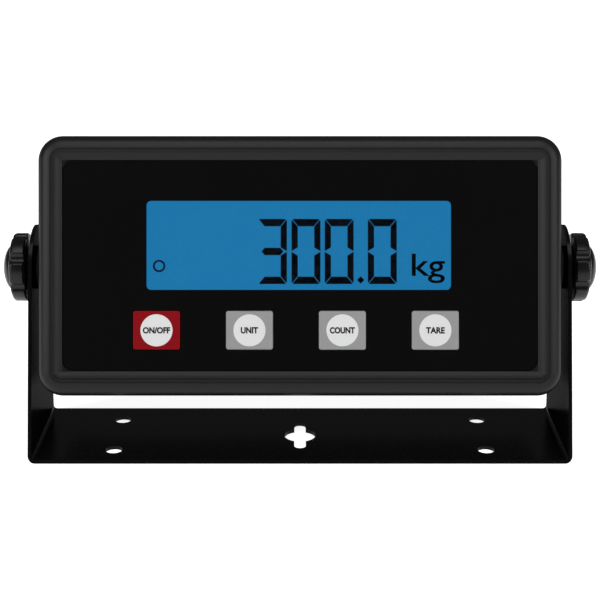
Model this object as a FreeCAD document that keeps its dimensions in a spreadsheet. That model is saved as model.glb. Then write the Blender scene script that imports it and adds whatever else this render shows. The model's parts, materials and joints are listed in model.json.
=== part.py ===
"""Weighing indicator on a U-bracket: a parametric FreeCAD document, in millimetres.

Frame: origin at the centre of the bracket's screw holes, on its underside, X to the right, the face
looks along -Y, +Z up.
The head is drawn about its tilt axis and then leaned back by rest_tilt. In the head, a level is a
distance in front of the tilt axis, so the face has positive levels and the back has negative ones.
"""
import FreeCAD, Part
import math
import os
import re
import Sketcher
from FreeCAD import Placement, Rotation, Vector

# Driving dimensions, in millimetres and degrees.
SIZES = {
    # bracket, bent from sheet steel
    "foot_front": 26.4, "foot_back": 28.5, "sheet_thick": 1.5, "bend_radius": 3.0,
    "arm_end_radius": 17.8, "pivot_y": 16.4, "pivot_height": 70, "rest_tilt": 18,
    "mount_hole_radius": 3.5, "mount_pitch_x": 152.6, "mount_pitch_y": 31.4,
    "keyhole_radius": 6.5, "keyhole_y": -1, "keyhole_slot_width": 4.8, "keyhole_slot_length": 26.4,
    # head shells, moulded in ABS
    "head_width": 210, "head_height": 104.3, "head_corner": 10, "wall": 2.5, "front_wall": 2.5,
    "ridge_level": 27, "ridge_drop": 5, "ridge_inset": 5.5, "recess_inset": 6.8,
    "panel_drop": 2, "seam_level": 10, "back_depth": 27, "draft_angle": 2.5, "back_bevel": 4,
    "bevel_angle": 35, "seal_inset": 0.75, "seal_width": 1, "seal_height": 0.6,
    # face panel, window and display
    "panel_width": 189, "panel_height": 83.6, "panel_corner": 4.5, "panel_thick": 0.5, "panel_play": 0.2,
    "window_width": 121.5, "window_height": 35.5, "window_corner": 1.8, "window_x": -0.5, "window_z": 8.1,
    "pane_lip": 2.2, "pane_thick": 1.5, "fit_play": 0.1, "glass_margin": 3, "glass_thick": 2.8,
    "frame_wall": 2, "frame_ledge": 3, "light_thick": 4, "light_lip": 2.5,
    "pin_margin": 7.5, "pin_pitch": 4, "pin_side": 0.6,
    # keys
    "key_width": 18.7, "key_height": 15.4, "key_corner": 0.9, "key_pitch": 37.05, "key_first_x": -57.2,
    "key_z": -25.8, "key_proud": 0.4, "key_play": 0.25, "key_flange": 1.1, "key_flange_thick": 2.3,
    "key_travel": 0.5, "pill_radius": 2.5, "pill_thick": 1.2,
    # boards and what is on them
    "board_width": 170, "board_edge": 1.1, "board_thick": 1.6, "board_drop": 11,
    "board_post_x": 80, "board_post_z": 35.5, "post_radius": 3.5,
    "keypad_width": 142, "keypad_height": 21, "keypad_post_radius": 2.5, "keypad_header_width": 25.4,
    "keypad_header_height": 2.5, "keypad_header_inset": 16, "keypad_header_lift": 2,
    # battery compartment
    "battery_width": 97, "battery_height": 51, "battery_thick": 24, "battery_z": -4,
    "battery_play": 0.4, "box_wall": 2, "pad_thick": 4.4, "pad_inset": 4.5, "tab_width": 6.3,
    "tab_height": 6, "tab_thick": 0.8, "tab_room": 3, "tab_x": 41, "lead_radius": 1.1, "lead_apart": 2.2,
    "door_side_lap": 7.1, "door_end_lap": 4.8, "door_thick": 2.5, "door_corner": 4, "door_screw_z": 20,
    "door_boss_radius": 3.2, "door_boss_height": 7,
    # screws, by their shank radius
    "case_screw_x": 93, "case_screw_z": 41, "case_boss_radius": 4.5, "case_screw_radius": 1.6,
    "case_screw_length": 25, "case_screw_bite": 8, "board_screw_radius": 1.25, "board_screw_length": 8,
    "keypad_screw_length": 4.8, "door_screw_radius": 1.45, "door_screw_length": 8, "screw_play": 0.05,
    "head_play": 0.4,
    # clamping stack at each end of the tilt axis
    "side_boss_radius": 9.5, "side_boss_reach": 1.6, "inner_boss_radius": 8,
    "insert_radius": 4.2, "insert_length": 14, "insert_room": 1,
    "bolt_radius": 3, "bolt_play": 0.05, "bolt_reach": 9,
    "arm_hole_play": 0.3, "clamp_gap": 0.05, "friction_radius": 9, "friction_thick": 1.75, "washer_radius": 9,
    "washer_thick": 1.5, "knob_radius": 14.25, "knob_head": 6.1, "knob_hub_radius": 7.5,
    "knob_hub": 1.2, "knob_lobes": 7, "lobe_cut_radius": 2.6, "lobe_cut_reach": 15.4,
    "left_crest": 90, "right_crest": 85, "knob_chamfer": 1,
    "cap_radius": 9.6, "cap_rise": 4.3, "cap_seat": 0.8, "hex_flats": 10, "hex_height": 4,
    # sockets in the back
    "socket_x": 72, "socket_z": -22, "socket_radius": 8, "socket_bore": 6, "socket_flange": 10.5,
    "socket_inside": 11.5, "socket_flange_thick": 2, "socket_bore_depth": 9, "socket_pin_radius": 0.8,
    "socket_pin_ring": 3.6, "socket_pin_length": 6, "socket_pin_count": 5,
    "cell_lead_count": 4, "cell_lead_pitch": 2.4, "cell_lead_run": 7, "cell_lead_radius": 0.77,
    "jack_z": 12, "jack_radius": 4, "jack_bore": 2.8, "jack_flange": 5.5, "jack_flange_thick": 1.5,
    "jack_inside": 9, "jack_bore_depth": 8, "jack_pin_radius": 1, "jack_pin_recess": 1,
    "power_lead_pitch": 2.6, "power_lead_run": 8, "power_lead_radius": 0.99,
    "nut_thick": 3, "socket_nut_flats": 20, "jack_nut_flats": 12,
    # headers on the main board that the leads run to
    "header_rise": 7, "header_height": 5.8, "lead_rise": 8.5, "cell_header_z": -27, "jack_header_z": 15,
    # how far a cutter runs past the face that it opens, and a post starts inside the wall it stands on
    "overcut": 1,
}

# Places worked out from the sizes. A name may stand for a formula that holds other names.
PLACES = {
    "back_level": "-back_depth",
    "rim_level": "ridge_level - ridge_drop",
    "panel_level": "ridge_level - panel_drop",
    "wall_front": "panel_level - panel_thick",
    "wall_back": "wall_front - front_wall",
    "pane_back": "wall_front - pane_thick",
    "key_front": "panel_level + key_proud",
    "flange_front": "wall_back - key_play",
    "flange_back": "flange_front - key_flange_thick",
    "pill_back": "flange_back - pill_thick",
    "keypad_front": "pill_back - key_travel - fit_play",
    "keypad_back": "keypad_front - board_thick",
    "board_front": "wall_back - board_drop",
    "board_back": "board_front - board_thick",
    "glass_width": "window_width + 2*glass_margin",
    "glass_height": "window_height + 2*glass_margin",
    "pin_count": "floor((glass_width - 2*pin_margin)/pin_pitch)",
    "glass_front": "wall_back - fit_play",
    "glass_back": "glass_front - glass_thick",
    "light_back": "glass_back - light_thick",
    "inner_back": "back_level + wall",
    "bevel_level": "back_level + back_bevel",
    "bevel_inset": "(seam_level - bevel_level)*tan(draft_angle)",
    "battery_back": "back_level + pad_thick + fit_play",
    "battery_front": "battery_back + battery_thick",
    "battery_low": "battery_z - battery_height/2",
    "battery_top": "battery_z + battery_height/2",
    "lead_height": "battery_top + tab_height + lead_rise",
    "board_height": "2*(lead_height + header_height/2 + board_edge)",
    "battery_mid_level": "(battery_back + battery_front)/2",
    "header_level": "board_back - header_rise",
    "case_head_level": "seam_level + case_screw_bite - case_screw_length",
    "box_half": "battery_width/2 + battery_play",
    "box_front": "battery_front + battery_play + box_wall",
    "door_back": "back_level - door_thick",
    "door_hole_height": "battery_height + battery_play + tab_height + tab_room",
    "door_mid": "battery_low - battery_play + door_hole_height/2",
    "door_height": "door_hole_height + 2*door_end_lap",
    "door_width": "2*box_half + 2*door_side_lap",
    "door_screw_x": "box_half + door_side_lap/2",
    "socket_back": "back_level - socket_flange_thick",
    "socket_front": "back_level + socket_inside",
    "jack_back": "back_level - jack_flange_thick",
    "jack_front": "back_level + jack_inside",
    "boss_end": "head_width/2 + side_boss_reach",
    "friction_end": "boss_end + friction_thick",
    "arm_inside": "friction_end + clamp_gap",
    "arm_outside": "arm_inside + sheet_thick",
    "hub_start": "arm_outside + washer_thick + 2*clamp_gap",
    "knob_start": "hub_start + knob_hub",
    "knob_end": "knob_start + knob_head",
    "hex_start": "knob_end - cap_seat - hex_height",
}

HEX_CORNER = 1 / math.cos(math.radians(30))
# A pan head's radius and height, as multiples of the shank's radius.
PAN_RADIUS = 2
PAN_HEIGHT = 1.6
# Share of the shorter run that a lead's bend takes on each side of its corner.
BEND_SHARE = 0.45

doc = FreeCAD.newDocument("WeighingIndicator")
sheet = doc.addObject("Spreadsheet::Sheet", "Dims")
nodes = []


def fill_sheet():
    """Write each driving size into the sheet as a plain number with its alias."""
    for row, (alias, size) in enumerate(SIZES.items(), start=1):
        sheet.set(f"A{row}", alias)
        sheet.set(f"B{row}", str(size))
        sheet.setAlias(f"B{row}", alias)
    doc.recompute()


def formula(text):
    """Turn a formula on sizes and places into one that reads the sheet."""
    def swap(word):
        name = word.group(0)
        if name in PLACES:
            return "(" + formula(PLACES[name]) + ")"
        return "Dims." + name if name in SIZES else name
    return re.sub(r"[a-z][a-z_]*", swap, str(text))


def value(text):
    """Number that a formula gives now; used for loop counts and to start a sketch near its answer."""
    return float(sheet.evalExpression(formula(text)))


def bind(thing, **formulas):
    """Bind properties to formulas; a double underscore in a name stands for a dot."""
    for name, text in formulas.items():
        thing.setExpression(name.replace("__", "."), formula(text))
    return thing


def lean(thing):
    """Lean a piece of the head back about the tilt axis."""
    thing.Placement = Placement(Vector(), Rotation(Vector(-1, 0, 0), 1))
    return bind(thing, Placement__Base__y="pivot_y", Placement__Base__z="pivot_height",
                Placement__Rotation__Angle="rest_tilt")


def node(thing, label):
    """Register a finished sub-part under its node name."""
    thing.Label = label
    nodes.append(thing)
    return thing


def head_node(label, *members):
    """One sub-part of the head, made of one or more separate solids, leaned back with the head."""
    compound = doc.addObject("Part::Compound", label)
    compound.Links = list(members)
    return node(lean(compound), label)


# ---------------------------------------------------------------- primitives in the head's frame

def block(x, z, width, height, back, front):
    """Box centred on (x, z) between two levels."""
    box = doc.addObject("Part::Box", "Block")
    return bind(box, Length=width, Width=f"({front}) - ({back})", Height=height,
                Placement__Base__x=f"({x}) - ({width})/2", Placement__Base__y=f"-({front})",
                Placement__Base__z=f"({z}) - ({height})/2")


def rod(x, z, radius, back, front):
    """Cylinder along the levels, centred on (x, z)."""
    bar = doc.addObject("Part::Cylinder", "Rod")
    bar.Placement = Placement(Vector(), Rotation(Vector(1, 0, 0), 90))
    return bind(bar, Radius=radius, Height=f"({front}) - ({back})", Placement__Base__x=x,
                Placement__Base__y=f"-({back})", Placement__Base__z=z)


def hex_bar(x, z, flats, back, front):
    """Hexagonal bar along the levels, centred on (x, z)."""
    bar = doc.addObject("Part::Prism", "HexBar")
    bar.Polygon = 6
    bar.Placement = Placement(Vector(), Rotation(Vector(1, 0, 0), 90))
    return bind(bar, Circumradius=f"({flats})/2 * {HEX_CORNER}", Height=f"({front}) - ({back})",
                Placement__Base__x=x, Placement__Base__y=f"-({back})", Placement__Base__z=z)


def axle(side, radius, start, end):
    """Cylinder on the tilt axis, from one distance to another on the side +1 or -1."""
    bar = doc.addObject("Part::Cylinder", "Axle")
    bar.Placement = Placement(Vector(), Rotation(Vector(0, 1, 0), 90))
    near = start if side > 0 else f"-({end})"
    return bind(bar, Radius=radius, Height=f"({end}) - ({start})", Placement__Base__x=near)


def hex_axle(side, flats, start, end):
    """Hexagonal bar on the tilt axis."""
    bar = doc.addObject("Part::Prism", "HexAxle")
    bar.Polygon = 6
    bar.Placement = Placement(Vector(), Rotation(Vector(0, 1, 0), 90))
    near = start if side > 0 else f"-({end})"
    return bind(bar, Circumradius=f"({flats})/2 * {HEX_CORNER}", Height=f"({end}) - ({start})",
                Placement__Base__x=near)


def cut(base, *tools):
    """Base with every tool taken away."""
    result = doc.addObject("Part::Cut", "Cut")
    result.Base = base
    result.Tool = tools[0] if len(tools) == 1 else join(*tools)
    return result


def join(*members):
    """Members fused into one shape."""
    result = doc.addObject("Part::MultiFuse", "Join")
    result.Shapes = list(members)
    result.Refine = True
    return result


# ---------------------------------------------------------------- sketches in a body

def origin_plane(body, role):
    """The body's own origin plane with this role."""
    return next(item for item in body.Origin.OriginFeatures if item.Role == role)


def new_sketch(body, name, level="0", x="0", z="0", plane="XZ_Plane"):
    """Sketch on one of the body's planes, moved by formulas: level along its normal, x and z in it."""
    sketch = body.newObject("Sketcher::SketchObject", name)
    sketch.AttachmentSupport = [(origin_plane(body, plane), "")]
    sketch.MapMode = "FlatFace"
    return bind(sketch, AttachmentOffset__Base__x=x, AttachmentOffset__Base__y=z,
                AttachmentOffset__Base__z=level)


def add_rounded_rectangle(sketch, width, height, corner):
    """Rounded rectangle about the sketch's origin, held by its width, height and corner radius."""
    half_w = value(width) / 2
    half_h = value(height) / 2
    radius = value(corner)
    inner_w = half_w - radius
    inner_h = half_h - radius
    sides = [((-inner_w, -half_h), (inner_w, -half_h)), ((half_w, -inner_h), (half_w, inner_h)),
             ((inner_w, half_h), (-inner_w, half_h)), ((-half_w, inner_h), (-half_w, -inner_h))]
    centres = [(inner_w, -inner_h), (inner_w, inner_h), (-inner_w, inner_h), (-inner_w, -inner_h)]
    first = sketch.GeometryCount
    for start, end in sides:
        sketch.addGeometry(Part.LineSegment(Vector(*start, 0), Vector(*end, 0)), False)
    for turn, centre in enumerate(centres):
        circle = Part.Circle(Vector(*centre, 0), Vector(0, 0, 1), radius)
        begin = math.pi * (turn - 1) / 2
        sketch.addGeometry(Part.ArcOfCircle(circle, begin, begin + math.pi / 2), False)
    for turn in range(4):
        arc = first + 4 + turn
        sketch.addConstraint(Sketcher.Constraint("Tangent", first + turn, 2, arc, 1))
        sketch.addConstraint(Sketcher.Constraint("Tangent", arc, 2, first + (turn + 1) % 4, 1))
        if turn:
            sketch.addConstraint(Sketcher.Constraint("Equal", first + 4, arc))
    for side in (first, first + 2):
        sketch.addConstraint(Sketcher.Constraint("Horizontal", side))
    sketch.addConstraint(Sketcher.Constraint("Vertical", first + 1))
    sketch.addConstraint(Sketcher.Constraint("Symmetric", first + 7, 3, first + 5, 3, -1, 1))
    hold(sketch, Sketcher.Constraint("Radius", first + 4, radius), corner)
    hold(sketch, Sketcher.Constraint("DistanceX", first + 7, 3, first + 5, 3, 2 * inner_w),
         f"{width} - 2*({corner})")
    hold(sketch, Sketcher.Constraint("DistanceY", first + 7, 3, first + 5, 3, 2 * inner_h),
         f"{height} - 2*({corner})")


def hold(sketch, constraint, text):
    """Add a constraint and bind its size to a formula."""
    index = sketch.addConstraint(constraint)
    name = f"size{index}"
    sketch.renameConstraint(index, name)
    sketch.setExpression(f"Constraints.{name}", formula(text))


def add_circles(sketch, centres, radius):
    """Equal circles about centres given as pairs of formulas."""
    first = sketch.GeometryCount
    for turn, (x, z) in enumerate(centres):
        place = Vector(value(x), value(z), 0)
        sketch.addGeometry(Part.Circle(place, Vector(0, 0, 1), value(radius)), False)
        hold(sketch, Sketcher.Constraint("DistanceX", -1, 1, first + turn, 3, place.x), x)
        hold(sketch, Sketcher.Constraint("DistanceY", -1, 1, first + turn, 3, place.y), z)
        if turn:
            sketch.addConstraint(Sketcher.Constraint("Equal", first, first + turn))
    hold(sketch, Sketcher.Constraint("Radius", first, value(radius)), radius)


def pad(body, sketch, length, **settings):
    """Pad towards the face, or the other way with Reversed."""
    feature = body.newObject("PartDesign::Pad", "Pad")
    return extrude(feature, sketch, length, **settings)


def pocket(body, sketch, length, **settings):
    """Pocket towards the back, or the other way with Reversed."""
    feature = body.newObject("PartDesign::Pocket", "Pocket")
    return extrude(feature, sketch, length, **settings)


def extrude(feature, sketch, length, reverse=False, taper=None):
    """Fill in a pad or a pocket."""
    feature.Profile = sketch
    feature.Reversed = reverse
    if taper:
        bind(feature, TaperAngle=taper)
    return bind(feature, Length=length)


def plate(body, name, back, front, width, height, corner, x="0", z="0", taper=None):
    """Pad of a rounded rectangle between two levels."""
    sketch = new_sketch(body, name, back, x, z)
    add_rounded_rectangle(sketch, width, height, corner)
    return pad(body, sketch, f"({front}) - ({back})", taper=taper)


def sink(body, name, back, front, width, height, corner, x="0", z="0"):
    """Pocket of a rounded rectangle from its front level down to its back level."""
    sketch = new_sketch(body, name, front, x, z)
    add_rounded_rectangle(sketch, width, height, corner)
    return pocket(body, sketch, f"({front}) - ({back})")


def posts(body, name, back, front, centres, radius):
    """Round posts between two levels."""
    sketch = new_sketch(body, name, back)
    add_circles(sketch, centres, radius)
    return pad(body, sketch, f"({front}) - ({back})")


def bores(body, name, back, front, centres, radius):
    """Round bores from their front level down to their back level."""
    sketch = new_sketch(body, name, front)
    add_circles(sketch, centres, radius)
    return pocket(body, sketch, f"({front}) - ({back})")


def four(x, z):
    """The four places (+-x, +-z)."""
    return [(f"{i}({x})", f"{j}({z})") for i, j in (("", ""), ("-", ""), ("-", "-"), ("", "-"))]


def key_x(number):
    """Centre of a key, counted from the left."""
    return f"key_first_x + {number}*key_pitch"


def keypad_posts():
    """Posts half way between the keys."""
    return [(f"key_first_x + {number + 0.5}*key_pitch", "key_z") for number in range(3)]


def door_screws():
    """Places of the battery door's screws."""
    return [(x, f"door_mid {sign} door_screw_z") for x in ("door_screw_x", "-(door_screw_x)")
            for sign in "+-"]


# ---------------------------------------------------------------- bracket

def arm_outline(sketch):
    """Side of the bracket: flat foot, straight edges tangent to the round end about the tilt axis."""
    corners = {-1: Vector(-value("foot_front"), 0, 0), 1: Vector(value("foot_back"), 0, 0)}
    centre = Vector(value("pivot_y"), value("pivot_height"), 0)
    radius = value("arm_end_radius")
    touch = {}
    for sign, corner in corners.items():
        run = centre - corner
        swing = math.atan2(run.y, run.x) - sign * math.asin(radius / run.Length)
        length = math.sqrt(run.Length ** 2 - radius ** 2)
        touch[sign] = corner + Vector(math.cos(swing), math.sin(swing), 0) * length
    angles = [math.atan2(touch[sign].y - centre.y, touch[sign].x - centre.x) for sign in (1, -1)]
    sketch.addGeometry(Part.LineSegment(corners[-1], corners[1]), False)
    sketch.addGeometry(Part.LineSegment(corners[1], touch[1]), False)
    circle = Part.Circle(centre, Vector(0, 0, 1), radius)
    sketch.addGeometry(Part.ArcOfCircle(circle, angles[0], angles[1]), False)
    sketch.addGeometry(Part.LineSegment(touch[-1], corners[-1]), False)
    for first, second in ((0, 1), (3, 0)):
        sketch.addConstraint(Sketcher.Constraint("Coincident", first, 2, second, 1))
    sketch.addConstraint(Sketcher.Constraint("Tangent", 1, 2, 2, 1))
    sketch.addConstraint(Sketcher.Constraint("Tangent", 2, 2, 3, 1))
    sketch.addConstraint(Sketcher.Constraint("PointOnObject", 0, 1, -1))
    sketch.addConstraint(Sketcher.Constraint("Horizontal", 0))
    hold(sketch, Sketcher.Constraint("DistanceX", -1, 1, 0, 1, corners[-1].x), "-foot_front")
    hold(sketch, Sketcher.Constraint("DistanceX", -1, 1, 0, 2, corners[1].x), "foot_back")
    hold(sketch, Sketcher.Constraint("Radius", 2, radius), "arm_end_radius")
    hold(sketch, Sketcher.Constraint("DistanceX", -1, 1, 2, 3, centre.x), "pivot_y")
    hold(sketch, Sketcher.Constraint("DistanceY", -1, 1, 2, 3, centre.y), "pivot_height")


def loose_sketch(name, rotation):
    """Sketch outside a body, turned by a rotation."""
    sketch = doc.addObject("Sketcher::SketchObject", name)
    sketch.Placement = Placement(Vector(), rotation)
    return sketch


def extrusion(sketch, length):
    """Solid to both sides of a loose sketch."""
    solid = doc.addObject("Part::Extrusion", "Extrusion")
    solid.Base = sketch
    solid.DirMode = "Normal"
    solid.Solid = True
    solid.Symmetric = True
    return bind(solid, LengthFwd=length)


def channel(name, half_width, radius, low, depth):
    """Bar with its two lower edges rounded, reaching above the arms."""
    top = "pivot_height + 2*arm_end_radius"
    sketch = loose_sketch(name, Rotation(Vector(1, 0, 0), 90))
    add_rounded_rectangle(sketch, f"2*({half_width})", f"2*({top} - ({low}))", radius)
    bar = extrusion(sketch, depth)
    return bind(bar, Placement__Base__z=top)


def bracket():
    """U-bracket: bent strip, arms trimmed to their outline, holes in foot and arms."""
    depth = "4*(foot_front + foot_back)"
    outside = channel("BendOutside", "arm_outside", "bend_radius", "0", depth)
    inside = channel("BendInside", "arm_inside", "bend_radius - sheet_thick", "sheet_thick", f"2*{depth}")
    strip = cut(outside, inside)
    side = loose_sketch("ArmOutline", Rotation(Vector(1, 1, 1), 120))
    arm_outline(side)
    trimmed = doc.addObject("Part::Common", "Trimmed")
    trimmed.Base = strip
    trimmed.Tool = extrusion(side, "4*arm_outside")

    holes = []
    for x, y in four("mount_pitch_x/2", "mount_pitch_y/2"):
        holes.append(upright(x, y, "mount_hole_radius"))
    holes.append(upright("0", "keyhole_y", "keyhole_radius"))
    slot_reach = "(keyhole_slot_length - keyhole_slot_width)/2"
    for sign in "+-":
        holes.append(upright("0", f"keyhole_y {sign} {slot_reach}", "keyhole_slot_width/2"))
    slot = doc.addObject("Part::Box", "KeyholeSlot")
    bind(slot, Length="keyhole_slot_width", Width=f"2*{slot_reach}", Height="4*sheet_thick",
         Placement__Base__x="-keyhole_slot_width/2", Placement__Base__y=f"keyhole_y - {slot_reach}",
         Placement__Base__z="-sheet_thick")
    pivot = axle(1, "bolt_radius + arm_hole_play", "-2*arm_outside", "2*arm_outside")
    bind(pivot, Placement__Base__y="pivot_y", Placement__Base__z="pivot_height")
    node(cut(trimmed, *holes, slot, pivot), "u_bracket")


def upright(x, y, radius):
    """Cylinder through the bracket's foot."""
    bar = doc.addObject("Part::Cylinder", "Upright")
    return bind(bar, Radius=radius, Height="4*sheet_thick", Placement__Base__x=x,
                Placement__Base__y=y, Placement__Base__z="-sheet_thick")


# ---------------------------------------------------------------- shells and face

def front_bezel():
    """Front shell: skirt, ridge round the face, recess for the panel, openings and posts."""
    body = doc.addObject("PartDesign::Body", "FrontBezel")
    plate(body, "Skirt", "seam_level", "rim_level", "head_width", "head_height", "head_corner")
    plate(body, "Brow", "rim_level", "ridge_level", "head_width", "head_height", "head_corner",
          taper="-atan(ridge_inset/ridge_drop)")
    recess_w = "head_width - 2*recess_inset"
    recess_h = "head_height - 2*recess_inset"
    sink(body, "Recess", "panel_level", "ridge_level", recess_w, recess_h, "panel_corner + overcut")
    sink(body, "PanelSeat", "wall_front", "panel_level", "panel_width + 2*panel_play",
         "panel_height + 2*panel_play", "panel_corner + panel_play")
    sink(body, "Cavity", "seam_level", "wall_back", "head_width - 2*wall", "head_height - 2*wall",
         "head_corner - wall")
    sink(body, "PaneSeat", "pane_back", "wall_front", "window_width + 2*pane_lip + 2*fit_play",
         "window_height + 2*pane_lip + 2*fit_play", "window_corner", "window_x", "window_z")
    sink(body, "WindowHole", "wall_back - overcut", "pane_back", "window_width", "window_height",
         "window_corner", "window_x", "window_z")
    for number in range(4):
        sink(body, f"KeyHole{number}", "wall_back - overcut", "wall_front", "key_width + 2*key_play",
             "key_height + 2*key_play", "key_corner + key_play", key_x(number), "key_z")
    board_places = four("board_post_x", "board_post_z")
    case_places = four("case_screw_x", "case_screw_z")
    posts(body, "BoardPosts", "board_front", "wall_back", board_places, "post_radius")
    posts(body, "CasePosts", "seam_level", "wall_back", case_places, "case_boss_radius")
    posts(body, "KeypadPosts", "keypad_front", "wall_back", keypad_posts(), "keypad_post_radius")
    bores(body, "BoardPostBores", "board_front", "wall_back", board_places, "board_screw_radius + screw_play")
    bores(body, "CasePostBores", "seam_level", "wall_back", case_places, "case_screw_radius + screw_play")
    bores(body, "KeypadPostBores", "keypad_front", "wall_back", keypad_posts(),
          "board_screw_radius + screw_play")
    seal_groove(body, "SealGroove", "fit_play/2")
    node(lean(body), "front_bezel")


def seal_band(sketch, play):
    """Band along the middle of the wall, as wide as the seal plus the play on each side."""
    for inset in (f"seal_inset - ({play})", f"seal_inset + seal_width + ({play})"):
        add_rounded_rectangle(sketch, f"head_width - 2*({inset})", f"head_height - 2*({inset})",
                              f"head_corner - ({inset})")


def seal_groove(body, name, play):
    """Groove for the seal in the front shell's rear edge, as deep as the seal."""
    sketch = new_sketch(body, name, "seam_level")
    seal_band(sketch, play)
    return pocket(body, sketch, "seal_height", reverse=True)


def case_seal():
    """Rubber seal in the groove between the shells."""
    body = doc.addObject("PartDesign::Body", "CaseSeal")
    sketch = new_sketch(body, "Band", "seam_level")
    seal_band(sketch, "0")
    pad(body, sketch, "seal_height")
    node(lean(body), "case_seal")


def rear_cover():
    """Rear shell: drafted walls, bevelled back, bosses, battery compartment and socket holes."""
    body = doc.addObject("PartDesign::Body", "RearCover")
    shell = new_sketch(body, "Shell", "seam_level")
    add_rounded_rectangle(shell, "head_width", "head_height", "head_corner")
    pad(body, shell, "seam_level - bevel_level", reverse=True, taper="-draft_angle")
    bevel = new_sketch(body, "Bevel", "bevel_level")
    add_rounded_rectangle(bevel, "head_width - 2*bevel_inset", "head_height - 2*bevel_inset",
                          "head_corner - bevel_inset")
    pad(body, bevel, "back_bevel", reverse=True, taper="-bevel_angle")
    hollow = new_sketch(body, "Hollow", "seam_level")
    add_rounded_rectangle(hollow, "head_width - 2*wall", "head_height - 2*wall", "head_corner - wall")
    pocket(body, hollow, "seam_level - inner_back", taper="-draft_angle")
    case_places = four("case_screw_x", "case_screw_z")
    posts(body, "CaseBosses", "inner_back - overcut", "seam_level", case_places, "case_boss_radius")
    battery_box(body)
    sink(body, "DoorHole", "back_level - overcut", "inner_back + overcut", "2*box_half",
         "door_hole_height", "1", z="door_mid")
    posts(body, "DoorBosses", "inner_back - overcut", "inner_back + door_boss_height", door_screws(),
          "door_boss_radius")
    sink(body, "BatterySpace", "inner_back", "battery_front + battery_play", "2*box_half",
         "door_hole_height", "1", z="door_mid")
    top_lip(body)
    bores(body, "DoorScrewBores", "back_level - overcut", "inner_back + door_boss_height - overcut",
          door_screws(), "door_screw_radius + screw_play")
    bores(body, "CaseBores", "back_level - overcut", "seam_level + overcut", case_places,
          "case_screw_radius + screw_play")
    bores(body, "CaseHeadWells", "back_level - overcut", "case_head_level", case_places,
          f"{PAN_RADIUS}*case_screw_radius + head_play")
    bores(body, "SocketHole", "back_level - overcut", "inner_back + overcut", [("socket_x", "socket_z")],
          "socket_radius + screw_play")
    bores(body, "JackHole", "back_level - overcut", "inner_back + overcut", [("socket_x", "jack_z")],
          "jack_radius + screw_play")
    shell_with_bosses = join(body, *[part for side in (-1, 1) for part in (
        axle(side, "side_boss_radius", "head_width/2 - wall", "boss_end"),
        axle(side, "inner_boss_radius", "boss_end - insert_length - insert_room", "boss_end"))])
    inserts = [axle(side, "insert_radius", "boss_end - insert_length - insert_room - overcut",
                    "boss_end + overcut") for side in (-1, 1)]
    node(lean(cut(shell_with_bosses, *inserts)), "rear_cover")


def battery_box(body):
    """Walls that hold the battery: a block here, hollowed by the battery space later."""
    height = "battery_height + 2*battery_play + 2*box_wall"
    plate(body, "BatteryBox", "inner_back - overcut", "box_front", "2*box_half + 2*box_wall", height, "2",
          z="battery_z")


def top_lip(body):
    """Lip over the middle of the battery, clear of its tabs."""
    low = "battery_top + battery_play"
    plate(body, "TopLip", "inner_back", "box_front", "battery_width/2", "box_wall", "0.5",
          z=f"{low} + box_wall/2")


def overlay_panel():
    """Thin face panel with cut-outs for the window and the keys."""
    body = doc.addObject("PartDesign::Body", "OverlayPanel")
    plate(body, "Sheet", "wall_front", "panel_level", "panel_width", "panel_height", "panel_corner")
    sink(body, "Window", "wall_front", "panel_level", "window_width", "window_height", "window_corner",
         "window_x", "window_z")
    for number in range(4):
        sink(body, f"Key{number}", "wall_front", "panel_level", "key_width + 2*key_play",
             "key_height + 2*key_play", "key_corner + key_play", key_x(number), "key_z")
    node(lean(body), "overlay_panel")


def rounded_plate(label, back, front, width, height, corner, x="0", z="0"):
    """Flat piece of the head with rounded corners."""
    body = doc.addObject("PartDesign::Body", label.title().replace("_", ""))
    plate(body, "Outline", back, front, width, height, corner, x, z)
    return node(lean(body), label)


def display():
    """Window pane, LCD glass, backlight, their holder frame and the contact pins."""
    rounded_plate("display_window", "pane_back", "wall_front", "window_width + 2*pane_lip",
                  "window_height + 2*pane_lip", "window_corner", "window_x", "window_z")
    place = ("window_x", "window_z")
    head_node("lcd_glass", block(*place, "glass_width", "glass_height", "glass_back", "glass_front"))
    light_w = "glass_width - 2*light_lip"
    light_h = "glass_height - 2*light_lip"
    head_node("backlight_panel", block(*place, light_w, light_h, "light_back", "glass_back"))
    outer = block(*place, "glass_width + 2*fit_play + 2*frame_wall",
                  "glass_height + 2*fit_play + 2*frame_wall", "board_front", "wall_back")
    mouth = block(*place, "glass_width + 2*fit_play", "glass_height + 2*fit_play", "glass_back",
                  "wall_back + overcut")
    well = block(*place, f"{light_w} + 2*fit_play", f"{light_h} + 2*fit_play", "light_back",
                 "wall_back + overcut")
    hole = block(*place, f"{light_w} - 2*frame_ledge", f"{light_h} - 2*frame_ledge", "board_front - overcut",
                 "wall_back + overcut")
    slits = [block("window_x", pin_z(sign), "pin_count*pin_pitch", "pin_side + 2*fit_play",
                   "board_front - overcut", "glass_back + overcut") for sign in "+-"]
    head_node("lcd_frame", cut(outer, mouth, well, hole, *slits))
    pins = [block(f"window_x + ({number} - (pin_count - 1)/2)*pin_pitch", pin_z(sign), "pin_side", "pin_side",
                  "board_front", "glass_back") for sign in "+-" for number in range(int(value("pin_count")))]
    head_node("lcd_pins", *pins)


def pin_z(sign):
    """Height of the upper or lower row of LCD pins."""
    return f"window_z {sign} (glass_height/2 - light_lip/2)"


# ---------------------------------------------------------------- keys and boards

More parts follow.
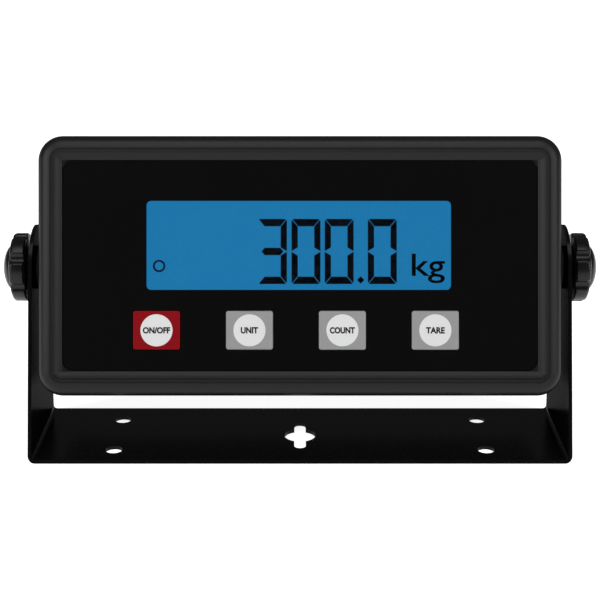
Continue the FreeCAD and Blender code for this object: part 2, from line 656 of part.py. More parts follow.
def keys():
    """Four keys in a row, each with its conductive pill."""
    for number, name in enumerate(("on_off", "unit", "count", "tare")):
        body = doc.addObject("PartDesign::Body", "Key" + name.title().replace("_", ""))
        plate(body, "Flange", "flange_back", "flange_front", "key_width + 2*key_flange",
              "key_height + 2*key_flange", "key_corner + key_flange", key_x(number), "key_z")
        plate(body, "Cap", "flange_front", "key_front", "key_width", "key_height", "key_corner",
              key_x(number), "key_z")
        node(lean(body), f"key_{name}")
        head_node(f"pill_{name}", rod(key_x(number), "key_z", "pill_radius", "pill_back", "flange_back"))


def screw(x, z, radius, length, seat):
    """Pan-head screw driven from behind: its head lies against the seat level, its shank goes forward."""
    head = rod(x, z, f"{PAN_RADIUS}*({radius})", f"({seat}) - {PAN_HEIGHT}*({radius})", seat)
    shank = rod(x, z, radius, seat, f"({seat}) + ({length})")
    return join(head, shank)


def boards():
    """Main board and keypad board with their screws and the header between them."""
    board_places = four("board_post_x", "board_post_z")
    radius = "board_screw_radius"
    bore = f"{radius} + screw_play"
    main = block("0", "0", "board_width", "board_height", "board_back", "board_front")
    holes = [rod(x, z, bore, "board_back - overcut", "board_front + overcut") for x, z in board_places]
    head_node("main_board", cut(main, *holes))
    head_node("board_screws", *[screw(x, z, radius, "board_screw_length", "board_back")
                                for x, z in board_places])
    middle = "key_first_x + 1.5*key_pitch"
    keypad = block(middle, "key_z", "keypad_width", "keypad_height", "keypad_back", "keypad_front")
    holes = [rod(x, z, bore, "keypad_back - overcut", "keypad_front + overcut") for x, z in keypad_posts()]
    head_node("keypad_board", cut(keypad, *holes))
    head_node("keypad_screws", *[screw(x, z, radius, "keypad_screw_length", "keypad_back")
                                 for x, z in keypad_posts()])
    header_x = f"{middle} + keypad_width/2 - keypad_header_inset"
    header_z = "key_z - keypad_height/2 + keypad_header_lift"
    head_node("keypad_header", block(header_x, header_z, "keypad_header_width", "keypad_header_height",
                                     "board_front", "keypad_back"))


def on_board(label, *parts):
    """Component soldered to the back of the main board, from (x, z, width, height, rise) or a radius."""
    solids = []
    for part in parts:
        if len(part) == 4:
            x, z, radius, rise = part
            solids.append(rod(x, z, radius, f"board_back - {rise}", "board_back"))
        else:
            x, z, width, height, rise = part
            solids.append(block(x, z, width, height, f"board_back - {rise}", "board_back"))
    head_node(label, *solids)


def components():
    """What is soldered to the main board, in millimetres from the board's centre."""
    on_board("controller_chip", (-22, 33, 12, 12, 1.6))
    on_board("adc_chip", (30, 34, 10.3, 7.5, 2.4))
    on_board("crystal", (-38, 33, 11, 4.5, 3.6))
    on_board("voltage_regulator", (69, 26, 10.2, 15, 4.5))
    on_board("capacitors", (-60, 26, 4, 11.5), (-69, 26, 4, 11.5), (-60, -34, 4, 11.5))
    on_board("buzzer", (-68, 4, 6, 8.5))
    on_board("battery_header", ("0", "lead_height", 10, "header_height", "header_rise"))
    on_board("load_cell_header", ("socket_x", "cell_header_z", 12.4, "header_height", "header_rise"))
    on_board("power_header", ("socket_x", "jack_header_z", 7.4, "header_height", "header_rise"))


# ---------------------------------------------------------------- battery

def battery():
    """Sealed battery with its tabs, pad, door and door screws."""
    head_node("battery", block("0", "battery_z", "battery_width", "battery_height", "battery_back",
                               "battery_front"))
    tabs = [block(f"{sign}tab_x", "battery_top + tab_height/2", "tab_width", "tab_height",
                  "battery_mid_level - tab_thick/2", "battery_mid_level + tab_thick/2")
            for sign in ("", "-")]
    head_node("battery_terminals", *tabs)
    head_node("battery_pad", block("0", "battery_z", "battery_width - 2*pad_inset",
                                   "battery_height - 2*pad_inset", "back_level", "battery_back"))
    body = doc.addObject("PartDesign::Body", "BatteryDoor")
    plate(body, "Door", "door_back", "back_level", "door_width", "door_height", "door_corner", z="door_mid")
    bores(body, "DoorBores", "door_back", "back_level", door_screws(), "door_screw_radius + screw_play")
    node(lean(body), "battery_door")
    screws = [screw(x, z, "door_screw_radius", "door_screw_length", "door_back")
              for x, z in door_screws()]
    head_node("door_screws", *screws)
    for side, colour in ((-1, "red"), (1, "black")):
        sign = "" if side > 0 else "-"
        route = [(f"{sign}tab_x", "battery_mid_level", "battery_top + tab_height"),
                 (f"{sign}tab_x", "battery_mid_level", "lead_height"),
                 (f"{sign}lead_apart", "battery_mid_level", "lead_height"),
                 (f"{sign}lead_apart", "header_level", "lead_height")]
        lead(f"battery_lead_{colour}", [route], "lead_radius")


def lead(label, routes, radius):
    """Leads along routes of (x, level, z) formulas: straight runs joined by tangent arcs."""
    solids = []
    size = value(radius)
    for route in routes:
        points = [Vector(value(x), -value(level), value(z)) for x, level, z in route]
        solids.append(tube(points, size))
    feature = doc.addObject("Part::Feature", label)
    feature.Shape = Part.makeCompound(solids)
    node(lean(feature), label)


def tube(points, radius):
    """Round tube along points, each inner point rounded by the largest arc that its runs allow."""
    edges = []
    start = points[0]
    for before, corner, after in zip(points, points[1:], points[2:]):
        back = before - corner
        ahead = after - corner
        half_turn = (math.pi - back.getAngle(ahead)) / 2
        cutback = BEND_SHARE * min(back.Length, ahead.Length)
        enter = corner + back.normalize() * cutback
        leave = corner + ahead.normalize() * cutback
        middle_way = (enter + leave) * 0.5 - corner
        bend = cutback / math.tan(half_turn)
        reach = bend / math.cos(half_turn) - bend
        middle = corner + middle_way.normalize() * reach
        print(f"lead bend radius {bend:.1f} mm")
        edges.append(Part.LineSegment(start, enter).toShape())
        edges.append(Part.Arc(enter, middle, leave).toShape())
        start = leave
    edges.append(Part.LineSegment(start, points[-1]).toShape())
    path = Part.Wire(edges)
    section = Part.Wire(Part.makeCircle(radius, points[0], points[1] - points[0]))
    return path.makePipeShell([section], True, False)


# ---------------------------------------------------------------- sockets in the back

def load_cell_socket():
    """Round panel socket with five pins, held by a nut inside the back."""
    place = ("socket_x", "socket_z")
    flange = rod(*place, "socket_flange", "socket_back", "back_level")
    barrel = rod(*place, "socket_radius", "socket_back", "socket_front")
    bore = rod(*place, "socket_bore", "socket_back - overcut", "socket_back + socket_bore_depth")
    head_node("load_cell_socket", cut(join(flange, barrel), bore))
    pins = []
    for number in range(int(value("socket_pin_count"))):
        angle = f"({number}*360/socket_pin_count + 90)"
        pins.append(rod(f"socket_x + socket_pin_ring*cos({angle})",
                        f"socket_z + socket_pin_ring*sin({angle})", "socket_pin_radius",
                        "socket_back + socket_bore_depth - socket_pin_length",
                        "socket_back + socket_bore_depth"))
    head_node("load_cell_pins", *pins)
    nut = hex_bar(*place, "socket_nut_flats", "inner_back", "inner_back + nut_thick")
    head_node("load_cell_nut", cut(nut, rod(*place, "socket_radius + screw_play", "inner_back - overcut",
                                            "inner_back + nut_thick + overcut")))
    routes = []
    for number in range(int(value("cell_lead_count"))):
        shift = f"({number} - (cell_lead_count - 1)/2)*cell_lead_pitch"
        routes.append([(f"socket_x + {shift}", "socket_front", "socket_z"),
                       (f"socket_x + {shift}", "socket_front + cell_lead_run", "socket_z"),
                       (f"socket_x + {shift}", "header_level - cell_lead_run", "cell_header_z"),
                       (f"socket_x + {shift}", "header_level", "cell_header_z")])
    lead("load_cell_leads", routes, "cell_lead_radius")


def power_jack():
    """Round power jack with its centre pin, held by a nut inside the back."""
    place = ("socket_x", "jack_z")
    flange = rod(*place, "jack_flange", "jack_back", "back_level")
    barrel = rod(*place, "jack_radius", "jack_back", "jack_front")
    bore = rod(*place, "jack_bore", "jack_back - overcut", "jack_back + jack_bore_depth")
    pin = rod(*place, "jack_pin_radius", "jack_back + jack_pin_recess", "jack_back + jack_bore_depth")
    head_node("power_jack", cut(join(flange, barrel), bore), pin)
    nut = hex_bar(*place, "jack_nut_flats", "inner_back", "inner_back + nut_thick")
    head_node("power_jack_nut", cut(nut, rod(*place, "jack_radius + screw_play", "inner_back - overcut",
                                             "inner_back + nut_thick + overcut")))
    routes = []
    for number in range(2):
        shift = f"({number} - 0.5)*power_lead_pitch"
        routes.append([(f"socket_x + {shift}", "jack_front", "jack_z"),
                       (f"socket_x + {shift}", "jack_front + power_lead_run", "jack_z"),
                       (f"socket_x + {shift}", "header_level - power_lead_run", "jack_header_z"),
                       (f"socket_x + {shift}", "header_level", "jack_header_z")])
    lead("power_leads", routes, "power_lead_radius")


# ---------------------------------------------------------------- screws, inserts and knobs

def case_screws():
    """Four screws that draw the rear cover to the bezel."""
    head_node("case_screws", *[screw(x, z, "case_screw_radius", "case_screw_length", "case_head_level")
                               for x, z in four("case_screw_x", "case_screw_z")])


def tube_on_axis(side, radius, bore, start, end):
    """Ring on the tilt axis."""
    return cut(axle(side, radius, start, end), axle(side, bore, f"({start}) - overcut", f"({end}) + overcut"))


def clamps():
    """Brass inserts and friction washers on the head's sides."""
    thread = "bolt_radius + bolt_play"
    head_node("pivot_inserts", *[tube_on_axis(side, "insert_radius", thread, "boss_end - insert_length",
                                              "boss_end") for side in (-1, 1)])
    head_node("friction_washers", *[tube_on_axis(side, "friction_radius", "bolt_radius + arm_hole_play",
                                                 "boss_end", "friction_end") for side in (-1, 1)])


def knob_grip(side):
    """Star grip: hub and lobed head with a hexagonal seat for the bolt and a bore for its shank."""
    hub = axle(side, "knob_hub_radius", "hub_start", "knob_end - knob_chamfer")
    head = axle(side, "knob_radius", "knob_start", "knob_end")
    chamfered = doc.addObject("Part::Chamfer", "KnobEdge")
    chamfered.Base = head
    size = value("knob_chamfer")
    doc.recompute()
    rims = [number for number, edge in enumerate(head.Shape.Edges, start=1)
            if edge.BoundBox.XLength < 0.01]
    chamfered.Edges = [(number, size, size) for number in rims]
    scallops = []
    crest = "right_crest" if side > 0 else "left_crest"
    for number in range(int(value("knob_lobes"))):
        angle = f"({crest} + ({number} + 0.5)*360/knob_lobes)"
        scallop = axle(side, "lobe_cut_radius", "knob_start - overcut", "knob_end + overcut")
        bind(scallop, Placement__Base__y=f"lobe_cut_reach*cos({angle})",
             Placement__Base__z=f"lobe_cut_reach*sin({angle})")
        scallops.append(scallop)
    bolt_bore = axle(side, "bolt_radius + bolt_play", "hub_start - overcut", "knob_end")
    bolt_seat = hex_axle(side, "hex_flats + 2*bolt_play", "hex_start", "knob_end + overcut")
    cap_seat = axle(side, "cap_radius + bolt_play", "knob_end - cap_seat", "knob_end + overcut")
    return cut(join(chamfered, hub), *scallops, bolt_bore, bolt_seat, cap_seat)


def knob_cap(side):
    """Domed cap over the bolt: a disc in its seat and a slice of a sphere above it."""
    disc = axle(side, "cap_radius", "knob_end - cap_seat", "knob_end")
    ball = doc.addObject("Part::Sphere", "Dome")
    ball_radius = "(cap_radius*cap_radius + cap_rise*cap_rise)/(2*cap_rise)"
    centre = f"knob_end + cap_rise - {ball_radius}"
    bind(ball, Radius=ball_radius, Placement__Base__x=f"{side}*({centre})")
    slice_ = doc.addObject("Part::Common", "DomeSlice")
    slice_.Base = ball
    slice_.Tool = axle(side, "1.5*cap_radius", "knob_end", "knob_end + 2*cap_rise")
    return join(disc, slice_)


def knobs():
    """Left and right clamp knobs, each with its bolt, cap and plain washer."""
    for side, name in ((-1, "left"), (1, "right")):
        head_node(f"knob_grip_{name}", knob_grip(side))
        shank = axle(side, "bolt_radius", "boss_end - bolt_reach", "hex_start")
        head_node(f"knob_bolt_{name}", join(shank, hex_axle(side, "hex_flats", "hex_start",
                                                            "hex_start + hex_height")))
        head_node(f"knob_cap_{name}", knob_cap(side))
        washer = tube_on_axis(side, "washer_radius", "bolt_radius + arm_hole_play", "arm_outside + clamp_gap",
                              "arm_outside + clamp_gap + washer_thick")
        head_node(f"knob_washer_{name}", washer)


# ---------------------------------------------------------------- build, test and write

def check_and_write():
    """Stop on any failed object or bad shape, then write one STEP file for each node."""
    doc.recompute()
    for item in doc.Objects:
        if {"Invalid", "Error"} & set(item.State):
            raise RuntimeError(f"{item.Name} ({item.Label}) failed: {item.State}")
    for item in nodes:
        if item.Shape.isNull() or not item.Shape.isValid() or not item.Shape.Solids:
            raise RuntimeError(f"{item.Label} has a bad shape")
    os.makedirs("parts", exist_ok=True)
    for item in nodes:
        item.Shape.exportStep(f"parts/{item.Label}.step")
    print(f"{len(nodes)} nodes, {sum(len(item.Shape.Solids) for item in nodes)} solids")


fill_sheet()
bracket()
front_bezel()
case_seal()
rear_cover()
overlay_panel()
display()
keys()
boards()
components()
battery()
load_cell_socket()
power_jack()
case_screws()
clamps()
knobs()
check_and_write()
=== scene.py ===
"""Looks of a weighing indicator: a black ABS head with a lit display and four keys, on a U-bracket.

Every length is in metres, in the frame of the CAD model. The head is described in its own leaned
frame: x to the right, z up its face, and a level, which is the distance in front of the tilt axis.
"""
from __future__ import annotations

import json
import logging
import math
from collections.abc import Callable, Sequence
from dataclasses import dataclass, field
from enum import Enum

import bmesh
import bpy
import numpy as np
from mathutils import Matrix, Vector


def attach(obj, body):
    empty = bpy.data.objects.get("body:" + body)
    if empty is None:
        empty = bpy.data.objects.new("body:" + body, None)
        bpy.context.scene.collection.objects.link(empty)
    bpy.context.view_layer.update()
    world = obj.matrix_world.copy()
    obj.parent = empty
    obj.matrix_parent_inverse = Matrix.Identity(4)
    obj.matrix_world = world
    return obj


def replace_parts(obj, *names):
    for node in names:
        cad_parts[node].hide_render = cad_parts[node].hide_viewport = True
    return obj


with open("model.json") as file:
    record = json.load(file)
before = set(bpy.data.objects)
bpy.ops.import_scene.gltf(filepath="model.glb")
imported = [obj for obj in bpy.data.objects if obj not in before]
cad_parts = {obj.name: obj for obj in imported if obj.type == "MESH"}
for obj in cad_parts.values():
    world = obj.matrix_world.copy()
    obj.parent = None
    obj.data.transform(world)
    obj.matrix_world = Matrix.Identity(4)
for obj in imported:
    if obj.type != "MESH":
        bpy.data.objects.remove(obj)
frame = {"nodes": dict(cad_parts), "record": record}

LOG = logging.getLogger("indicator")
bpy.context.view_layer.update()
MM = 0.001
LEAST_CORNER = 0.3 * MM
Array = np.ndarray


# ---------------------------------------------------------------- node trees and finishes

def linear(colour: str) -> tuple[float, float, float, float]:
    """Turn an sRGB hex colour into the linear colour that shaders take.

    Args:
        colour: Six hex digits after a hash sign.

    Returns:
        Red, green, blue and an alpha of one.
    """
    values = [int(colour[at:at + 2], 16) / 255 for at in (1, 3, 5)]
    red, green, blue = (v / 12.92 if v <= 0.04045 else ((v + 0.055) / 1.055) ** 2.4 for v in values)
    return red, green, blue, 1.0


def add_node(tree: bpy.types.NodeTree, kind: str, inputs: dict | None = None,
             **settings: object) -> bpy.types.Node:
    """Add a shader node, set its properties, and set or link its inputs.

    Args:
        tree: The material's node tree.
        kind: Blender's name of the node's type, without the ShaderNode prefix.
        inputs: Socket name or number to a value, or to an output socket to link from.
        settings: Properties of the node.

    Returns:
        The new node.
    """
    node = tree.nodes.new("ShaderNode" + kind)
    for name, setting in settings.items():
        setattr(node, name, setting)
    for socket, given in (inputs or {}).items():
        if isinstance(given, bpy.types.NodeSocket):
            tree.links.new(given, node.inputs[socket])
        else:
            node.inputs[socket].default_value = given
    return node


@dataclass(frozen=True)
class Finish:
    """A finish: a principled surface whose colour, roughness and bump vary in real millimetres.

    Attributes:
        name: Common name of the material and how its surface was made.
        colour: Main colour.
        other: Colour of the variation.
        roughness: Lowest and highest roughness.
        grain: Size of the fine grain.
        bump: Height of the fine grain.
        patch: Size of the broad variation.
        metallic: One for bare metal.
        ior: Index of refraction of a non-metal.
    """

    name: str
    colour: str
    other: str
    roughness: tuple[float, float] = (0.4, 0.5)
    grain: float = 0.4 * MM
    bump: float = 0.02 * MM
    patch: float = 30 * MM
    metallic: float = 0.0
    ior: float = 1.5

    def build(self) -> bpy.types.Material:
        """Make the material, or return it if it is made already."""
        made = bpy.data.materials.get(self.name)
        if made:
            return made
        material = bpy.data.materials.new(self.name)
        material.use_nodes = True
        tree = material.node_tree
        tree.nodes.clear()
        place = add_node(tree, "TexCoord").outputs["Object"]
        broad = add_node(tree, "TexNoise",
                         {"Vector": place, "Scale": 1 / self.patch, "Detail": 3.0}).outputs[0]
        fine = add_node(tree, "TexNoise",
                        {"Vector": place, "Scale": 1 / self.grain, "Detail": 2.0}).outputs[0]
        blend = add_node(tree, "Mix", {0: broad, 6: linear(self.colour), 7: linear(self.other)},
                         data_type="RGBA").outputs[2]
        smoothest, roughest = self.roughness
        rough = add_node(tree, "MapRange", {"Value": fine, "From Min": 0.3, "From Max": 0.7,
                                            "To Min": smoothest, "To Max": roughest}).outputs[0]
        bump = add_node(tree, "Bump", {"Height": fine, "Strength": 1.0, "Distance": self.bump}).outputs[0]
        shader = add_node(tree, "BsdfPrincipled", {
            "Base Color": blend, "Roughness": rough, "Normal": bump, "Metallic": self.metallic,
            "IOR": self.ior})
        self.dress(tree, shader)
        add_node(tree, "OutputMaterial", {"Surface": shader.outputs[0]})
        return material

    def dress(self, tree: bpy.types.NodeTree, shader: bpy.types.Node) -> None:
        """Add what a special finish needs beyond the common surface; nothing here."""


@dataclass(frozen=True)
class Lit(Finish):
    """A finish that also gives light, as a display over its backlight does.

    Attributes:
        glow: Colour of the light.
        strength: Strength of the light.
    """

    glow: str = "#1d77ab"
    strength: float = 1.0

    def dress(self, tree: bpy.types.NodeTree, shader: bpy.types.Node) -> None:
        """Make the surface glow."""
        shader.inputs["Emission Color"].default_value = linear(self.glow)
        shader.inputs["Emission Strength"].default_value = self.strength


@dataclass(frozen=True)
class Dulled(Finish):
    """A finish whose shine fades where it is seen edge-on, as a blackened surface's does."""

    def dress(self, tree: bpy.types.NodeTree, shader: bpy.types.Node) -> None:
        """Lower the reflection towards grazing views."""
        facing = add_node(tree, "LayerWeight", {"Blend": 0.5}).outputs["Facing"]
        level = add_node(tree, "MapRange", {"Value": facing, "From Min": 0.5, "From Max": 0.8,
                                            "To Min": 0.5, "To Max": 0.004}).outputs[0]
        tree.links.new(level, shader.inputs["Specular IOR Level"])


@dataclass(frozen=True)
class Clear(Finish):
    """A clear plastic finish."""

    def dress(self, tree: bpy.types.NodeTree, shader: bpy.types.Node) -> None:
        """Let light through."""
        shader.inputs["Transmission Weight"].default_value = 1.0


# Black ABS moulded in a spark-eroded tool: a matt grain of about 0.3 mm that greys the highlights.
ABS = Dulled("abs_moulded_black", "#101011", "#131314", (0.36, 0.46), 0.35 * MM, 0.014 * MM, ior=1.29)
# Polyester film printed black on its back: nearly smooth, with a broad soft sheen.
FILM = Dulled("polyester_film_black", "#060606", "#080808", (0.30, 0.38), 0.5 * MM, 0.004 * MM, ior=1.16)
# Sheet steel with gloss powder coat: a smooth skin with the ripple called orange peel, 2 mm across.
POWDER_COAT = Dulled("powder_coat_gloss_black", "#070707", "#090909", (0.20, 0.28), 2.2 * MM, 0.02 * MM,
                     ior=1.2)
# Glass-filled nylon moulding: a dull, slightly streaky black.
NYLON = Finish("nylon_moulded_black", "#0b0b0c", "#0e0e0f", (0.24, 0.34), 0.5 * MM, 0.012 * MM, ior=1.32)
# Printing inks under the film of each key: flat and even, with the faint grain of a screen print.
KEY_RED = Finish("ink_printed_red", "#84020f", "#7e020e", (0.42, 0.48), 0.3 * MM, 0.003 * MM, ior=1.25)
KEY_GREY = Finish("ink_printed_grey", "#949494", "#8e8e8e", (0.42, 0.48), 0.3 * MM, 0.003 * MM, ior=1.25)
DISC_WHITE = Finish("ink_printed_white", "#dadbda", "#d6d7d6", (0.42, 0.48), 0.3 * MM, 0.003 * MM, ior=1.25)
LABEL_BLACK = Finish("ink_printed_black", "#0a0a0a", "#0d0d0d", (0.42, 0.48), 0.3 * MM, 0.002 * MM, ior=1.25)
# Liquid crystal cell over a blue backlight: an even blue, a touch paler at its edge.
LCD_BLUE = Lit("lcd_backlit_blue", "#030608", "#040709", (0.25, 0.30), 0.8 * MM, 0.001 * MM, ior=1.15,
               glow="#1c76ab", strength=0.98)
SEGMENT = Finish("lcd_segment_black", "#020308", "#03050a", (0.35, 0.45), 0.8 * MM, 0.001 * MM, ior=1.15)
RING = Finish("lcd_segment_navy", "#0a1a2c", "#0c1c2e", (0.35, 0.45), 0.8 * MM, 0.001 * MM, ior=1.15)
WINDOW = Clear("polycarbonate_clear", "#ffffff", "#fdfefe", (0.0, 0.01), 6 * MM, 0.0002 * MM, ior=1.12)
ZINC = Finish("steel_zinc_plated", "#b9bcc0", "#a6a9ae", (0.24, 0.36), 0.5 * MM, 0.01 * MM, metallic=1.0)
BRASS = Finish("brass_turned", "#c9a356", "#b48f47", (0.22, 0.34), 0.3 * MM, 0.01 * MM, metallic=1.0)
ALUMINIUM = Finish("aluminium_drawn", "#c4c6c8", "#b4b6b8", (0.30, 0.42), 0.4 * MM, 0.01 * MM, metallic=1.0)
RUBBER = Finish("rubber_moulded_black", "#141414", "#1a1a1a", (0.65, 0.80), 0.4 * MM, 0.03 * MM)
BOARD = Finish("laminate_green_mask", "#0f4a2a", "#0c4025", (0.35, 0.45), 0.6 * MM, 0.006 * MM)
EPOXY = Finish("epoxy_moulded_black", "#17181a", "#1d1e20", (0.55, 0.65), 0.25 * MM, 0.01 * MM)
WHITE_NYLON = Finish("nylon_natural", "#dcdad2", "#d2d0c8", (0.42, 0.52), 0.5 * MM, 0.01 * MM)
LEAD_RED = Finish("pvc_extruded_red", "#a01a18", "#94120f", (0.42, 0.50), 0.6 * MM, 0.006 * MM)
LEAD_BLACK = Finish("pvc_extruded_black", "#151515", "#1a1a1a", (0.42, 0.50), 0.6 * MM, 0.006 * MM)
ACRYLIC = Finish("acrylic_light_guide", "#e6f0f6", "#dde9f0", (0.30, 0.40), 1.2 * MM, 0.002 * MM)
BATTERY = Finish("abs_moulded_grey", "#3a3c40", "#333539", (0.48, 0.58), 0.5 * MM, 0.02 * MM)
FLOOR = Finish("studio_paper_white", "#f4f4f4", "#f2f2f2", (0.80, 0.90), 1.5 * MM, 0.0)


# ---------------------------------------------------------------- frame of the head and meshes

class Head:
    """The head's leaned frame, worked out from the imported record."""

    joint = next(item for item in frame["record"]["behaviour"]["joints"] if item["name"] == "head_tilt")
    press = next(item for item in frame["record"]["behaviour"]["joints"] if item["name"] == "on_off_press")
    pivot = np.array(joint["pos_m"])
    back = np.array(press["axis"])
    up = np.cross(np.array((1.0, 0.0, 0.0)), back)

    @classmethod
    def place(cls, x: Array, level: Array, z: Array) -> Array:
        """Turn leaned coordinates into the row's frame.

        Args:
            x: Distance to the right.
            level: Distance in front of the tilt axis.
            z: Distance up the face.

        Returns:
            Points, with a last axis of three.
        """
        x, level, z = np.broadcast_arrays(x, level, z)
        across = np.stack((x, np.zeros_like(x), np.zeros_like(x)), -1)
        return cls.pivot + across - level[..., None] * cls.back + z[..., None] * cls.up

    @classmethod
    def reach(cls, name: str) -> tuple[Array, Array]:
        """Measure a CAD node in the leaned frame.

        Args:
            name: The node.

        Returns:
            Its lowest and its highest (x, level, z).
        """
        mesh = frame["nodes"][name].data
        points = np.empty(len(mesh.vertices) * 3)
        mesh.vertices.foreach_get("co", points)
        offset = points.reshape(-1, 3) - cls.pivot
        local = np.stack((offset[:, 0], -offset @ cls.back, offset @ cls.up), -1)
        return local.min(0), local.max(0)


def make_piece(name: str, points: Array, faces: Sequence[Sequence[int]], finish: Finish, body: str,
               smooth: bool = True) -> bpy.types.Object:
    """Put points and faces into a new object that rides on a body.

    Args:
        name: Name of the piece.
        points: Points in the row's frame.
        faces: Corner numbers of each face.
        finish: Its finish.
        body: The CAD body that carries it.
        smooth: Whether faces are shaded smooth.

    Returns:
        The new object.
    """
    mesh = bpy.data.meshes.new(name)
    mesh.from_pydata(np.asarray(points).reshape(-1, 3).tolist(), [], [list(map(int, face)) for face in faces])
    mesh.update()
    if smooth:
        mesh.shade_smooth()
    else:
        mesh.shade_flat()
    return finish_piece(bpy.data.objects.new(name, mesh), finish, body)


def finish_piece(piece: bpy.types.Object, finish: Finish, body: str) -> bpy.types.Object:
    """Link a piece to the scene, turn its faces outwards, and give it its finish and body.

    Args:
        piece: The new piece.
        finish: Its finish.
        body: The CAD body that carries it.

    Returns:
        The same piece.
    """
    bpy.context.scene.collection.objects.link(piece)
    shape = bmesh.new()
    shape.from_mesh(piece.data)
    bmesh.ops.remove_doubles(shape, verts=shape.verts, dist=1e-7)
    bmesh.ops.recalc_face_normals(shape, faces=shape.faces)
    shape.to_mesh(piece.data)
    shape.free()
    piece.data.materials.clear()
    piece.data.materials.append(finish.build())
    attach(piece, body)
    LOG.info("piece %s on %s: %d faces", piece.name, body, len(piece.data.polygons))
    return piece


def grid_faces(rows: int, columns: int, wrap_rows: bool = False) -> Array:
    """Give the four-cornered faces of a tube's grid of points, whose columns run round it.

    Args:
        rows: Rings of points.
        columns: Points in each ring.
        wrap_rows: Whether the last ring joins the first.

    Returns:
        Corner numbers, of shape faces by four.
    """
    row = np.arange(rows if wrap_rows else rows - 1)[:, None]
    column = np.arange(columns)[None, :]
    next_row = (row + 1) % rows
    next_column = (column + 1) % columns
    corners = (row * columns + column, row * columns + next_column,
               next_row * columns + next_column, next_row * columns + column)
    return np.stack(np.broadcast_arrays(*corners), -1).reshape(-1, 4)


def rounded_ring(half_x: Array, half_z: Array, radius: Array, steps: int = 16) -> tuple[Array, Array]:
    """Give points round a rounded rectangle.

    A corner's point is the corner arc's centre plus the radius times the cosine and sine of an angle
    that runs through a quarter turn in each corner; the straight sides lie between the arcs' ends.

    Args:
        half_x: Half widths, one for each ring.
        half_z: Half heights.
        radius: Corner radii, no smaller than a hundredth of a millimetre.
        steps: Arc pieces in each corner.

    Returns:
        x and z, each of shape rings by points.
    """
    turn = np.linspace(0, math.pi / 2, steps + 1)
    angle = (turn[None, :] + np.arange(4)[:, None] * math.pi / 2).ravel()
    middle = np.repeat(np.arange(4) * math.pi / 2 + math.pi / 4, steps + 1)
    radius = np.maximum(np.asarray(radius, float), 1e-5)[:, None]
    x = np.sign(np.cos(middle)) * (np.asarray(half_x, float)[:, None] - radius) + radius * np.cos(angle)
    z = np.sign(np.sin(middle)) * (np.asarray(half_z, float)[:, None] - radius) + radius * np.sin(angle)
    return x, z


def arc(centre: tuple[float, float], radius: tuple[float, float], start: float, end: float,
        steps: int = 8) -> list[tuple[float, float]]:
    """Give points of an ellipse's arc.

    Args:
        centre: The ellipse's middle.
        radius: Its two half axes.
        start: First angle, in degrees.
        end: Last angle, in degrees.
        steps: Pieces of the arc.

    Returns:
        The points, in order.
    """
    turn = np.radians(np.linspace(start, end, steps + 1))
    return list(zip(centre[0] + radius[0] * np.cos(turn), centre[1] + radius[1] * np.sin(turn)))


def framed_ring(name: str, profile: Sequence[tuple[float, float]], half: tuple[float, float], corner: float,
                finish: Finish, body: str) -> bpy.types.Object:
    """Carry a closed profile of (inset, level) round a rounded rectangle.

    A point at an inset lies on the rounded rectangle whose half sizes and corner radius are each
    smaller by the inset.

    Args:
        name: Name of the piece.
        profile: Points of (inset, level), in order; the last joins the first.
        half: Half width and half height at no inset.
        corner: Corner radius at no inset.
        finish: Its finish.
        body: The CAD body that carries it.

    Returns:
        The new object.
    """
    inset, level = np.array(profile).T
    x, z = rounded_ring(half[0] - inset, half[1] - inset, np.maximum(corner - inset, LEAST_CORNER))
    rings, columns = x.shape
    points = Head.place(x, np.repeat(level[:, None], columns, 1), z)
    return make_piece(name, points, grid_faces(rings, columns, wrap_rows=True), finish, body)


def revolve(name: str, profile: Sequence[tuple[float, float]], origin: Array, axis: Array, finish: Finish,
            body: str, steps: int = 64,
            swell: Callable[[Array, Array], Array] | None = None) -> bpy.types.Object:
    """Turn a profile of (radius, height) about an axis.

    A point is the origin plus the height along the axis plus the radius in the direction of the
    angle. The radius may be changed by a function of the angle and the radius.

    Args:
        name: Name of the piece.
        profile: Points of (radius, height); the first and last lie on the axis.
        origin: Point on the axis at no height.
        axis: Direction of the axis.
        finish: Its finish.
        body: The CAD body that carries it.
        steps: Pieces round the axis.
        swell: Gives the radius at an angle.

    Returns:
        The new object.
    """
    radius, height = np.array(profile).T
    angle = np.linspace(0, 2 * math.pi, steps, endpoint=False)
    axis = np.asarray(axis, float)
    side = np.cross(axis, Head.up) if abs(axis @ Head.up) < 0.9 else np.cross(axis, Head.back)
    side /= np.linalg.norm(side)
    other = np.cross(axis, side)
    spread = np.repeat(radius[:, None], steps, 1)
    if swell:
        spread = swell(angle[None, :], spread)
    ring = side * np.cos(angle)[:, None] + other * np.sin(angle)[:, None]
    points = origin + height[:, None, None] * axis + spread[..., None] * ring[None]
    return make_piece(name, points, grid_faces(len(radius), steps), finish, body)


